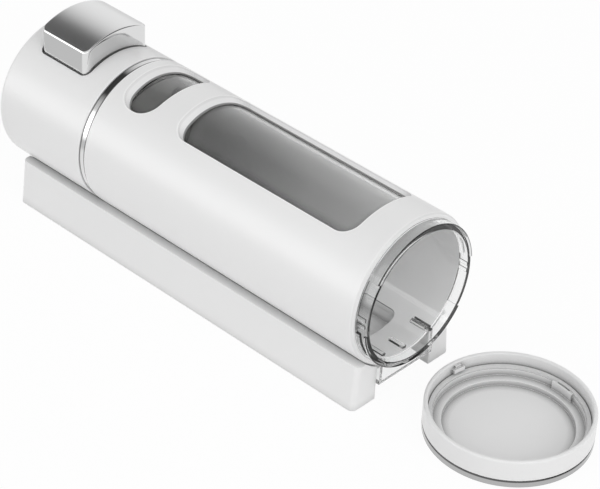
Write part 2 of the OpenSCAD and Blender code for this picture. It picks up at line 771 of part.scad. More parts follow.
// Rings of points of a round wire that follows a path of points, each ring in the plane through Z
function coil_ring(turn, z, wire_r, sides) = [for (k = [0:sides - 1])
    let (a = 360 * k / sides, r = spring_d / 2 + wire_r * cos(a))
    [button_x + r * cos(turn), r * sin(turn), z + wire_r * sin(a)]];

module return_spring() color("silver") {
    sides = 6;
    steps = 20 * spring_turns;
    z0 = gland_top + wire_d / 2;
    rise = roof_z - gland_top - wire_d;
    rings = [for (i = [0:steps]) coil_ring(360 * spring_turns * i / steps, z0 + rise * i / steps,
        wire_d / 2, sides)];
    faces = [for (i = [0:steps - 1], k = [0:sides - 1])
        let (a = i * sides + k, b = i * sides + (k + 1) % sides)
        each [[a, a + sides, b + sides], [a, b + sides, b]]];
    ends = [[for (k = [0:sides - 1]) k], [for (k = [sides - 1:-1:0]) steps * sides + k]];
    polyhedron([for (ring = rings) each ring], concat(faces, ends), convexity = 10);
}

// Sub-parts of the button

module button_outline(grow = 0) {
    round_rect(button_len + 2 * grow, button_w + 2 * grow, button_r + grow);
}

module button_cap() color("silver") {
    difference() {
        translate([button_x, 0, 0]) union() {
            translate([0, 0, lip_z1 - button_lip_t]) linear_extrude(button_top_z) button_outline();
            translate([0, 0, lip_z1 - button_lip_t]) linear_extrude(button_lip_t)
                button_outline(button_lip);
        }
        intersection() {
            translate([button_x, 0, lip_z1 - button_lip_t - overrun])
                linear_extrude(button_top_z) button_outline(-button_wall);
            bar_x(button_x - button_len, button_x + button_len, roof_r, 0, button_top_z - crown_r);
        }
        difference() {
            block([button_x - button_len, -button_w, button_edge_z],
                [button_x + button_len, button_w, 2 * button_top_z]);
            bar_x(button_x - button_len - overrun, button_x + button_len + overrun, crown_r,
                0, button_top_z - crown_r);
        }
    }
    difference() {
        union() {
            button_ring(roof_z - rod_boss_len, roof_z + land, 0, rod_d / 2 + rod_boss_wall);
            button_ring(roof_z, button_top_z - button_wall, 0, seat_r);
        }
        button_ring(roof_z - rod_boss_len - overrun, roof_z, 0, rod_d / 2 + run_gap);
    }
}

module plunger() color("whitesmoke") difference() {
    union() {
        button_ring(piston_z0, piston_z1, 0, piston_r);
        button_ring(piston_z0, roof_z, 0, rod_d / 2);
    }
    button_ring(seal_z0, seal_z0 + seal_t, piston_r - seal_depth, piston_r + overrun);
}

// A cup seal: a ring in the piston's groove with a lip that spreads to the bore
module piston_seal() color("dimgray") translate([button_x, 0, 0]) rotate_extrude() polygon([
    [piston_r - seal_depth + run_gap, seal_z0 + run_gap], [piston_r - seal_lip, seal_z0 + seal_lip],
    [piston_r, seal_z0 + run_gap], [bore_d / 2 - run_gap, seal_z0 + run_gap],
    [bore_d / 2 - run_gap, seal_z0 + seal_lip], [piston_r, seal_z0 + seal_t - run_gap],
    [piston_r - seal_depth + run_gap, seal_z0 + seal_t - run_gap]]);

// Sub-parts of the lid, drawn about its own upright axis

// A sector of a ring inside the lid, centred on an angle
module lid_sector(z0, z1, r0, r1, at, angle) {
    rotate([0, 0, at - angle / 2]) rotate_extrude(angle = angle)
        polygon([[r0, z0], [r1, z0], [r1, z1], [r0, z1]]);
}

module lid_body() color("white") translate([lid_x, lid_y, 0]) difference() {
    union() {
        rotate_extrude() polygon(concat(
            [[0, 0], [band_r - run_gap, 0], [band_r - run_gap, band_h], [lid_r - band_groove, band_h],
            [lid_r, band_h + band_groove]],
            arc([lid_r - lid_round, lid_h - lid_round], lid_round, 0, 90),
            arc([lid_ir + lid_round, lid_h - lid_round], lid_round, 90, 180),
            [[lid_ir, lid_seat_z], [gasket_ir - slip_gap, lid_seat_z], [gasket_ir - slip_gap, lid_step_z],
            [lid_step_r, lid_step_z], [lid_step_r, lid_disc_t], [0, lid_disc_t]]));
        for (at = lug_at) {
            lid_sector(lug_z, lug_z + lug_t, lug_r, lid_ir + land, at, lug_angle);
            lid_sector(nub_z1 - nub_h, nub_z1, nub_r, lid_ir + land, at, nub_w / lid_ir * 180 / PI);
        }
        for (at = stand_at) lid_sector(lid_disc_t, stand_z, stand_r, gasket_ir - run_gap, at, stand_angle);
    }
    for (at = stand_at) lid_sector(lid_seat_z - root_depth, stand_z + overrun, gasket_ir - root_w, gasket_ir,
        at, root_angle);
}

module lid_band() color("gainsboro") translate([lid_x, lid_y, 0]) rotate_extrude() polygon([
    [band_r, 0], [lid_r - band_groove, 0], [lid_r, band_groove], [lid_r, band_h - band_groove],
    [lid_r - band_groove, band_h], [band_r, band_h]]);

module lid_gasket() color("lightgray") translate([lid_x, lid_y, 0]) rotate_extrude() polygon([
    [gasket_ir, lid_seat_z], [lid_ir - slip_gap, lid_seat_z],
    [lid_ir - slip_gap, lid_seat_z + gasket_t], [gasket_ir, lid_seat_z + gasket_t]]);

wall_bracket();
outer_shell();
tank();
trim_ring();
chassis();
chassis_screws();
head_housing();
head_screws();
pump_barrel();
pump_screws();
pump_gland();
rod_wiper();
neck_seal();
inlet_valve();
outlet_valve();
nozzle();
return_spring();
button_cap();
plunger();
piston_seal();
lid_body();
lid_band();
lid_gasket();
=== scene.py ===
"""Looks of a push-button soap dispenser on its wall bracket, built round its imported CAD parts."""

import math

import bmesh
import bpy
import numpy as np
from mathutils import Matrix, Vector


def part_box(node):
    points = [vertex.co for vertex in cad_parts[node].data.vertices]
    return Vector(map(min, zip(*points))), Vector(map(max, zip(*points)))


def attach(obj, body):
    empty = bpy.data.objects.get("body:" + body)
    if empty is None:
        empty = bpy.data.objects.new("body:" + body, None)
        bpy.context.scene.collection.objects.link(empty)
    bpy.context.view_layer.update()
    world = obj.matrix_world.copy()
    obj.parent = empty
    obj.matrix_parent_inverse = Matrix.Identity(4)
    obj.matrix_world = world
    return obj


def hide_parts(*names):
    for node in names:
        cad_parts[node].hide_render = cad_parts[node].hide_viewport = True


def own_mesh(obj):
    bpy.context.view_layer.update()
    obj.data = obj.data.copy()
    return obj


bl_info = {
    "name": "Soap dispenser looks",
    "version": (1, 0, 0),
    "blender": (4, 5, 0),
    "location": "3D View > Sidebar > Dispenser",
    "description": "Finishes a CAD soap dispenser with its plastics, chrome, clear tank and studio",
    "category": "Object",
}

MM = 0.001
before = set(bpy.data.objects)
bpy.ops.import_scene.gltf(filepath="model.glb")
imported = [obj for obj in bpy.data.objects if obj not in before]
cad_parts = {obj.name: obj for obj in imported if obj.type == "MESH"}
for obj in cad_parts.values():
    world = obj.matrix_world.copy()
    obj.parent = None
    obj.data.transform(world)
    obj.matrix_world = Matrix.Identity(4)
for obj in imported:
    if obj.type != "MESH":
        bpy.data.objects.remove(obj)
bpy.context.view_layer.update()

# The body: the shell and the tank share one long axis along X, with a gap between their walls
SHELL_WALL = 2.6 * MM
TANK_GAP = 0.3 * MM
RIM_ROUND = 0.3 * MM
AXIS_Z = (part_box("trim_ring")[0][2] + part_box("trim_ring")[1][2]) / 2
SHELL_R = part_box("head_housing")[1][1]
SHELL_IR = SHELL_R - SHELL_WALL
TANK_R = SHELL_IR - TANK_GAP
TANK_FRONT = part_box("tank")[1][0] - RIM_ROUND

# The push button: a thin-walled cap with a lip round its foot and an arched top
CAP_LOW, CAP_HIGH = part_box("button_cap")
CAP_CENTRE = ((CAP_LOW[0] + CAP_HIGH[0]) / 2, 0.0)
CAP_WALL = 1.6 * MM
CAP_CORNER = 3.0 * MM
CAP_LIP = 1.2 * MM
CAP_LIP_T = 1.6 * MM
LIP_EDGE = 0.25 * MM
LIP_ROOT = 0.3 * MM
ROD_HOLE_R = 4.05 * MM
BOSS_R = 5.8 * MM
BOSS_LENGTH = 5 * MM
BOSS_OVERLAP = 0.2 * MM
SEAT_R = 9.0 * MM
SEAT_COVER_SHARE = 0.25
CROWN = 4.8 * MM
CROWN_HALF = (CAP_HIGH[1] - CAP_LOW[1]) / 2 - CAP_LIP
CROWN_R = (CROWN_HALF ** 2 + CROWN ** 2) / (2 * CROWN)

# The return spring, squeezed by the button's travel
SPRING_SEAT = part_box("return_spring")[1][2]
SPRING_WIRE = 1.2 * MM
SPRING_TURNS = 7

# Painted shade and light: how far the painted shade in creases reaches, and where the tank's
# tint is painted lighter towards its mouth
PLASTIC_SHADE_REACH = 4.0 * MM
TANK_SHADE_REACH = 5.0 * MM
MOUTH_PAINTED_LIGHT_X = (-60 * MM, 100 * MM)

# The camera, worked out from the photograph's perspective
CAMERA_PLACE = (0.58598, -0.60009, 0.61985)
CAMERA_RIGHT = (0.7200, 0.6927, 0.0429)
CAMERA_UP = (-0.4301, 0.3968, 0.8109)
CAMERA_BACK = (0.5447, -0.6023, 0.5836)
CAMERA_LENS = 139.97
CAMERA_SENSOR = 36.0

# Where mirrors see a dark gap over the head's end, one high on the right and a bright box on the
# left, as directions from the dispenser
OVERHEAD_GAP = (-0.600, -0.050, 0.798)
OVERHEAD_STOPS = [(0.30, 1.0), (0.72, 0.9), (0.81, 0.78),
                  (0.88, 0.6), (0.925, 0.35), (0.96, 0.05)]
RIGHT_GAP = (0.503, 0.503, 0.704)
LEFT_BOX = (-0.545, -0.83, 0.11)

# Where the last two start and are full, as cosines, and their levels outside and inside
RIGHT_GAP_EASE = (0.76, 0.92, 1.0, 0.12)
LEFT_BOX_EASE = (0.90, 1.0, 0.0, 2.6)

# How strongly the surroundings light the dispenser, next to 1 as they are seen
AMBIENT = 0.63

# The floor's half side, and where mirrors see it brighten and see the card, in metres
FLOOR_HALF = 6.0
FLOOR_BRIGHTENS_Y = (-0.2, -1.1)
CARD_X = (-0.13, -0.17)
CARD_Y = (-0.35, -0.25)

# Each lamp's name, place in metres, width in metres and power in watts
LAMPS = (
    ("key", (-0.3, -1.05, 0.95), 1.2, 3.6),
    ("fill", (1.25, -0.2, 0.75), 1.0, 5.5),
)
BOUNCES = {
    "max_bounces": 28,
    "diffuse_bounces": 10,
    "glossy_bounces": 12,
    "transmission_bounces": 24,
    "transparent_max_bounces": 32,
}


# Shader building


class Value:
    """A number socket. Sums, differences and products of values add Math nodes."""

    def __init__(self, finish, socket):
        self.finish = finish
        self.socket = socket

    def math(self, operation, *others):
        return self.finish.math(operation, self, *others)

    def __add__(self, other):
        return self.math("ADD", other)

    def __sub__(self, other):
        return self.math("SUBTRACT", other)

    def __rsub__(self, other):
        return self.finish.math("SUBTRACT", other, self)

    def __mul__(self, other):
        return self.math("MULTIPLY", other)

    __radd__ = __add__
    __rmul__ = __mul__


class Finish:
    """A node tree under construction, for a material or the world."""

    def __init__(self, owner):
        owner.use_nodes = True
        self.owner = owner
        self.tree = owner.node_tree
        self.tree.nodes.clear()

    def add(self, kind, settings=None, sockets=None, out=0):
        """Adds a node: its settings first, then the values or links of its sockets."""
        node = self.tree.nodes.new(kind)
        for name, value in (settings or {}).items():
            if name == "stops":
                stops = node.color_ramp.elements
                while len(stops) < len(value):
                    stops.new(1.0)
                for stop, (place, level) in zip(stops, value):
                    stop.position = place
                    stop.color = (level, level, level, 1.0)
            else:
                setattr(node, name, value)
        for name, value in (sockets or {}).items():
            if isinstance(value, Value):
                self.tree.links.new(value.socket, node.inputs[name])
            else:
                node.inputs[name].default_value = value
        return Value(self, node.outputs[out])

    def math(self, operation, *values):
        """A Math node on numbers or values."""
        return self.add("ShaderNodeMath", {"operation": operation}, dict(enumerate(values)))

    def place(self):
        """The place on the object, in metres."""
        return self.add("ShaderNodeTexCoord", out="Object")

    def along(self, axis):
        """How far along the object's X, Y or Z a point lies, in metres."""
        return self.add("ShaderNodeSeparateXYZ", None, {0: self.place()}, out=axis)

    def from_axis(self):
        """How far a point lies from the dispenser's long axis, in metres."""
        across = self.along("Y")
        up = self.along("Z") - AXIS_Z
        return (across * across + up * up).math("SQRT")

    def ease(self, value, start, end, low=0.0, high=1.0):
        """A level that eases from low to high as a value goes from start to end."""
        return self.add("ShaderNodeMapRange", {"interpolation_type": "SMOOTHSTEP"}, {
            "Value": value, "From Min": start, "From Max": end, "To Min": low, "To Max": high,
        })

    def band(self, value, base, steps):
        """A level that eases up to 1 and back to 0, at four steps in millimetres from a base."""
        rise, full, fade, end = (base + step * MM for step in steps)
        return self.ease(value, rise, full) * self.ease(value, end, fade)

    def cosine(self, one, other):
        """The cosine of the angle between two directions."""
        return self.add("ShaderNodeVectorMath", {"operation": "DOT_PRODUCT"},
                        {0: one, 1: other}, out="Value")

    def ray(self, kind):
        """1 for rays of the given kind, such as Camera or Glossy, and 0 for others."""
        return self.add("ShaderNodeLightPath", out=f"Is {kind} Ray")

    def noise(self, scale, detail=2.0, roughness=0.5):
        """Smooth noise between 0 and 1, with about `scale` bumps in a metre."""
        return self.add("ShaderNodeTexNoise", None, {
            "Vector": self.place(), "Scale": scale, "Detail": detail, "Roughness": roughness,
        })

    def grey(self, level, tint=(1.0, 1.0, 1.0)):
        """A colour of the given level, which is a value, times a tint."""
        parts = {axis: level * share for axis, share in enumerate(tint)}
        return self.add("ShaderNodeCombineColor", None, parts)

    def rounded(self, radius):
        """Normals that look as if the edges had the given radius, in metres."""
        return self.add("ShaderNodeBevel", {"samples": 6}, {"Radius": radius})

    def corner(self, rounded):
        """How sharply a softened edge turns: 0 on a flat and about 0.3 on a square edge."""
        return 1.0 - self.cosine(rounded, self.add("ShaderNodeNewGeometry", out="Normal"))

    def painted_crease_shade(self, reach, start, end, low, own=False):
        """Painted shade: a share that falls from 1 to low where surfaces stand within reach.

        It goes by the share of the sky that stays open, from end down to start. With own set,
        only the piece's own surfaces count.
        """
        settings = {"samples": 6, "only_local": own}
        sky = self.add("ShaderNodeAmbientOcclusion", settings, {"Distance": reach}, out="AO")
        return self.add("ShaderNodeMapRange", None, {
            "Value": sky, "From Min": start, "From Max": end, "To Min": low, "To Max": 1.0,
        })

    def bump(self, height, depth, normal):
        """Relief of the given depth in metres, over an earlier normal."""
        return self.add("ShaderNodeBump", None, {
            "Strength": 1.0, "Distance": depth, "Height": height, "Normal": normal,
        })

    def emit(self, colour, strength=1.0):
        """Plain light of a colour, from the world."""
        return self.add("ShaderNodeBackground", None, {"Color": colour, "Strength": strength})

    def mix(self, share, first, second):
        """The first shader, replaced by the second in the given share."""
        return self.add("ShaderNodeMixShader", None, {0: share, 1: first, 2: second})

    def close(self, surface):
        """Links the surface to the output and hands back the material or the world."""
        world = isinstance(self.owner, bpy.types.World)
        node = self.tree.nodes.new("ShaderNodeOutputWorld" if world else "ShaderNodeOutputMaterial")
        self.tree.links.new(surface.socket, node.inputs["Surface"])
        return self.owner

    def principled(self, **sockets):
        """Closes the tree with a Principled shader, whose sockets are named with underscores."""
        named = {name.replace("_", " "): value for name, value in sockets.items()}
        return self.close(self.add("ShaderNodeBsdfPrincipled", None, named))


# Materials


def moulded_plastic(name, level, edge, low=0.6, light=1.6, roughness=0.3,
                    tint=(1.0, 1.0, 1.0), tube=False):
    """Injection-moulded plastic: faint flow clouds, fine spark grain and softened edges.

    Creases get painted shade down to the share `low`, and edges a painted highlight of `light`
    times their turn. A tube's edges get lines of painted highlight and shade instead.
    """
    finish = Finish(bpy.data.materials.new(name))
    clouds = finish.noise(22.0, 3.0)
    grain = finish.noise(2600.0, 2.0, 0.6)
    rounded = finish.rounded(edge)
    shade = clouds * (0.03 * level) + 0.985 * level
    # Painted shade where surfaces stand close: in creases, recesses and between parts
    shade = shade * finish.painted_crease_shade(PLASTIC_SHADE_REACH, 0.3, 0.97, low, own=tube)
    if tube:
        shade = tube_painted_lines(finish, shade, edge)
    else:
        # Painted highlights along edges, the lighter the sharper they turn
        shade = (shade + finish.corner(rounded) * light).math("MINIMUM", 1.0)
    return finish.principled(
        Base_Color=finish.grey(shade, tint),
        Roughness=grain * 0.10 + (roughness - 0.05),
        IOR=1.53,
        Normal=finish.bump(grain, 0.004 * MM, rounded),
    )


def tube_painted_lines(finish, shade, edge):
    """Painted lines along the shell's openings, by how far a point lies from the shell's axis.

    The outer face has a painted highlight beside an opening. In the opening's wall a faint line of
    painted shade runs just under the outer face, and a dark one where the wall meets the tank.
    """
    radius = finish.from_axis()
    outer_face = finish.ease(radius, SHELL_R - 0.2 * MM, SHELL_R - 0.05 * MM)
    turn = finish.corner(finish.rounded(3 * edge)) * outer_face
    lip = finish.band(radius, SHELL_R, (-0.9, -0.6, -0.2, -0.05))
    foot = finish.band(radius, SHELL_IR, (0.02, 0.07, 0.4, 0.6))
    # Painted highlight beside the openings, then painted shade lines in the wall and at its foot
    shade = (shade + finish.ease(turn, 0.01, 0.04) * 0.2).math("MINIMUM", 1.0)
    return shade * (1.0 - foot * 0.7) * (1.0 - lip * 0.1)


def chrome_plate(name, level, roughness, edge, painted_shade_bands=()):
    """Bright chrome over plastic: a faint waviness and a few duller wiped patches.

    A painted shade band is an axis and two places on it, in metres, between which chrome darkens.
    """
    finish = Finish(bpy.data.materials.new(name))
    wipes = finish.noise(60.0, 4.0, 0.6)
    waves = finish.noise(90.0, 1.0)
    shade = wipes * 0.03 + (level - 0.015)
    # Painted shade: the chrome is darkened by three quarters past each band's second place
    for axis, start, end in painted_shade_bands:
        shade = shade * (1.0 - finish.ease(finish.along(axis), start, end) * 0.75)
    return finish.principled(
        Base_Color=finish.grey(shade, (0.997, 0.999, 1.0)),
        Metallic=1.0,
        Roughness=wipes * 0.05 + roughness,
        Normal=finish.bump(waves, 0.006 * MM, finish.rounded(edge)),
    )


def smoke_clear(name, level, edge):
    """Clear smoke-tinted plastic for the tank, with faint clouds and painted light at its mouth.

    The rim's front face has painted shade along both of its edges, where one looks into the
    length of the wall. The outer face has painted shade where the shell stands over it, up to 9 mm
    short of the front.
    """
    finish = Finish(bpy.data.materials.new(name))
    along = finish.along("X")
    radius = finish.from_axis()
    tone = finish.noise(30.0, 2.0) * 0.06 + (level - 0.03)
    # Painted light: the tint lightens towards the mouth
    tone = tone * (finish.ease(along, *MOUTH_PAINTED_LIGHT_X) * 0.3 + 0.8)
    middle = finish.band(radius, TANK_R, (-1.6, -1.2, 0.0, 0.4))
    # Painted shade along both edges of the rim's front face, left lighter in its middle
    depth = 1.0 - along.math("GREATER_THAN", TANK_FRONT) * (0.95 - middle * 0.7)
    # Painted shade on the tank's outer face where the shell stands close over it, up to 9 mm short
    # of the front
    outside = finish.ease(radius, TANK_R - 0.7 * MM, TANK_R - 0.4 * MM)
    outside = outside * (1.0 - finish.add("ShaderNodeNewGeometry", out="Backfacing"))
    outside = outside * finish.ease(along, TANK_FRONT - 9 * MM, TANK_FRONT - 12 * MM)
    painted_shell_shade = 1.0 - (1.0 - finish.painted_crease_shade(TANK_SHADE_REACH, 0.65, 0.95, 0.3)) * outside
    clear = finish.add("ShaderNodeBsdfPrincipled", None, {
        "Base Color": finish.grey(tone * depth * painted_shell_shade, (0.997, 1.0, 1.0)),
        "Roughness": 0.02,
        "IOR": 1.49,
        "Transmission Weight": 1.0,
        "Normal": finish.rounded(edge),
    })
    tint = level ** 0.5
    through = finish.add("ShaderNodeBsdfTransparent", None, {"Color": (tint, tint, tint, 1.0)})
    share = finish.ray("Shadow").math("MAXIMUM", finish.ray("Diffuse"))
    return finish.close(finish.mix(share, clear, through))


def soft_rubber(name, level, roughness):
    """Moulded rubber or silicone with a dusty, uneven sheen."""
    finish = Finish(bpy.data.materials.new(name))
    dust = finish.noise(700.0, 4.0, 0.65)
    return finish.principled(
        Base_Color=finish.grey(dust * (0.25 * level) + 0.85 * level),
        Roughness=dust * 0.15 + (roughness - 0.08),
        Normal=finish.bump(dust, 0.01 * MM, finish.rounded(0.15 * MM)),
    )


def turned_steel(name, level, roughness):
    """Plated steel of screws and wire, with fine drawn lines."""
    finish = Finish(bpy.data.materials.new(name))
    lines = finish.noise(3500.0, 3.0, 0.7)
    return finish.principled(
        Base_Color=finish.grey(lines * 0.12 + (level - 0.06)),
        Metallic=1.0,
        Roughness=lines * 0.14 + (roughness - 0.07),
        Normal=finish.bump(lines, 0.003 * MM, finish.rounded(0.08 * MM)),
    )


# Shapes


def round_rectangle(half_x, half_y, radius, steps=14, side=24):
    """Outline of a rectangle with round corners, anticlockwise, as an array of [x, y].

    Each corner is an arc of its radius about a centre that lies a radius inside both sides,
    and each straight side between two corners is split into even steps.
    """
    turn = np.linspace(0.0, math.pi / 2, steps)
    runs = []
    for quarter, (sx, sy) in enumerate(((1, 1), (-1, 1), (-1, -1), (1, -1))):
        angle = turn + quarter * math.pi / 2
        centre = np.array([sx * (half_x - radius), sy * (half_y - radius)])
        runs.append(centre + radius * np.stack([np.cos(angle), np.sin(angle)], axis=1))
    points = []
    for run, after in zip(runs, runs[1:] + runs[:1]):
        share = np.linspace(0.0, 1.0, side, endpoint=False)[1:, None]
        points += [run, run[-1] * (1 - share) + after[0] * share]
    return np.concatenate(points)


def ring_faces(rows, columns):
    """Quads of a grid of rings, where each ring's last column meets its first."""
    row, column = np.meshgrid(np.arange(rows - 1), np.arange(columns), indexing="ij")
    after = (column + 1) % columns
    corners = (row * columns + column, row * columns + after,
               (row + 1) * columns + after, (row + 1) * columns + column)
    return np.stack(corners, axis=-1).reshape(-1, 4)


def turned(profile, centre, columns=48):
    """A closed profile of [radius, height] revolved about the upright line through a centre."""
    angle = np.linspace(0.0, 2 * math.pi, columns, endpoint=False)
    radius, height = np.asarray(profile + profile[:1]).T[:, :, None]
    x = centre[0] + radius * np.cos(angle)
    y = centre[1] + radius * np.sin(angle)
    points = np.stack([x, y, height + 0 * x], axis=-1)
    return points.reshape(-1, 3), ring_faces(len(profile) + 1, columns)


def coil(low, high, centre, radius, wire, turns, sides=12, steps=36):
    """A round wire wound as a helix between two heights, as rings of points round its middle line.

    The middle line turns evenly about the upright line through the centre while it rises evenly.
    A ring lies in the plane through that line, and the first and the last are points that close
    it. Each turn has `steps` rings.
    """
    share = np.linspace(0.0, 1.0, steps * turns + 1)
    share = np.concatenate([[0.0], share, [1.0]])[:, None]
    size = np.full_like(share, wire / 2)
    size[[0, -1]] = 0.0
    turn = 2 * math.pi * turns * share
    around = np.linspace(0.0, 2 * math.pi, sides, endpoint=False)
    reach = radius + size * np.cos(around)
    x = centre[0] + reach * np.cos(turn)
    y = centre[1] + reach * np.sin(turn)
    height = low + wire / 2 + (high - low - wire) * share + size * np.sin(around)
    points = np.stack([x, y, height], axis=-1)
    return points.reshape(-1, 3), ring_faces(len(share), sides)


def joined(*parts):
    """Puts the points and the faces of several shapes together."""
    points, faces, start = [], [], 0
    for more_points, more_faces in parts:
        points.append(more_points)
        faces.append(more_faces + start)
        start += len(more_points)
    return np.concatenate(points), np.concatenate(faces)


def mesh_piece(name, points, faces, material, body):
    """Makes an object of points in metres, smooth where its faces meet at less than 35 degrees."""
    mesh = bpy.data.meshes.new(name)
    mesh.from_pydata(points.tolist(), [], faces.tolist())
    clean = bmesh.new()
    clean.from_mesh(mesh)
    bmesh.ops.remove_doubles(clean, verts=clean.verts, dist=0.001 * MM)
    bmesh.ops.recalc_face_normals(clean, faces=clean.faces)
    clean.to_mesh(mesh)
    clean.free()
    mesh.polygons.foreach_set("use_smooth", np.ones(len(mesh.polygons), dtype=bool))
    mesh.set_sharp_from_angle(angle=math.radians(35))
    mesh.materials.append(material)
    piece = bpy.data.objects.new(name, mesh)
    bpy.context.scene.collection.objects.link(piece)
    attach(piece, body)
    return piece


def finish_nodes(material, names):
    """Gives CAD nodes a material in place of the plain one that they were packed with."""
    for name in names:
        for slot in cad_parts[name].material_slots:
            slot.material = material


# Settings


class DispenserSizes(bpy.types.PropertyGroup):
    """Sizes and colours that a user would change."""

    white: bpy.props.FloatProperty(
        name="White", description="How light the white plastic is",
        default=0.86, min=0.0, max=1.0)
    smoke: bpy.props.FloatProperty(
        name="Tank tint", description="Share of the light that one wall of the tank lets through",
        default=0.835, min=0.0, max=1.0)
    chrome: bpy.props.FloatProperty(
        name="Chrome", description="How light the chrome is", default=0.72, min=0.0, max=1.0)
    edge: bpy.props.FloatProperty(
        name="Edge radius", description="Softening of the moulded edges",
        default=0.45 * MM, min=0.0, subtype="DISTANCE", unit="LENGTH")
    fillet: bpy.props.FloatProperty(
        name="Button fillet", description="Rounding along the push button's top edges",
        default=0.7 * MM, min=0.0, subtype="DISTANCE", unit="LENGTH")
    key: bpy.props.FloatProperty(
        name="Key light", description="Strength of the key light, and of the fill with it",
        default=1.0, min=0.0)


# Pieces


class DISPENSER_OT_white_parts(bpy.types.Operator):
    """Finishes the bracket, the shell, the head and the lid in white plastic"""

    bl_idname = "dispenser.white_parts"
    bl_label = "White parts"

    def execute(self, context):
        sizes = context.scene.dispenser
        plain = moulded_plastic("white_plastic", sizes.white, sizes.edge, low=0.72)
        # The lid's cup: the white plastic painted 0.965 times darker as painted shade, with deeper
        # painted shade in its creases and stronger painted highlights on its edges
        cup = moulded_plastic("white_cup_painted_shade", 0.965 * sizes.white, sizes.edge, low=0.2, light=3.0)
        # The shell gets painted highlight and shade lines along its openings
        tube = moulded_plastic("white_tube", sizes.white, sizes.edge, tube=True)
        finish_nodes(plain, ["wall_bracket", "head_housing"])
        finish_nodes(cup, ["lid_body"])
        finish_nodes(tube, ["outer_shell"])
        return {"FINISHED"}


class DISPENSER_OT_clear_tank(bpy.types.Operator):
    """Finishes the tank in smoke-tinted clear plastic"""

    bl_idname = "dispenser.clear_tank"
    bl_label = "Clear tank"

    def execute(self, context):
        smoke = smoke_clear("smoke_plastic", context.scene.dispenser.smoke, 0.1 * MM)
        finish_nodes(smoke, ["tank"])
        return {"FINISHED"}


class DISPENSER_OT_chrome_parts(bpy.types.Operator):
    """Finishes the trim ring and the lid's band in chrome"""

    bl_idname = "dispenser.chrome_parts"
    bl_label = "Chrome parts"

    def execute(self, context):
        level = context.scene.dispenser.chrome
        (low, *_), (high, *_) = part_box("trim_ring")
        # Painted shade lines at the ring's two ends, where it meets the shell and the head
        ring_painted_shade = [("X", low + 0.9 * MM, low + 0.5 * MM), ("X", high - 0.9 * MM, high - 0.5 * MM)]
        finish_nodes(chrome_plate("chrome_trim", level, 0.05, 0.2 * MM, ring_painted_shade), ["trim_ring"])
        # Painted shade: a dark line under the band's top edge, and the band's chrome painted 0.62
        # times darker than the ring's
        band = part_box("lid_band")[1][2]
        top = [("Z", band - 0.9 * MM, band - 0.6 * MM)]
        finish_nodes(chrome_plate("chrome_band_painted_shade", 0.62 * level, 0.08, 0.2 * MM, top), ["lid_band"])
        return {"FINISHED"}


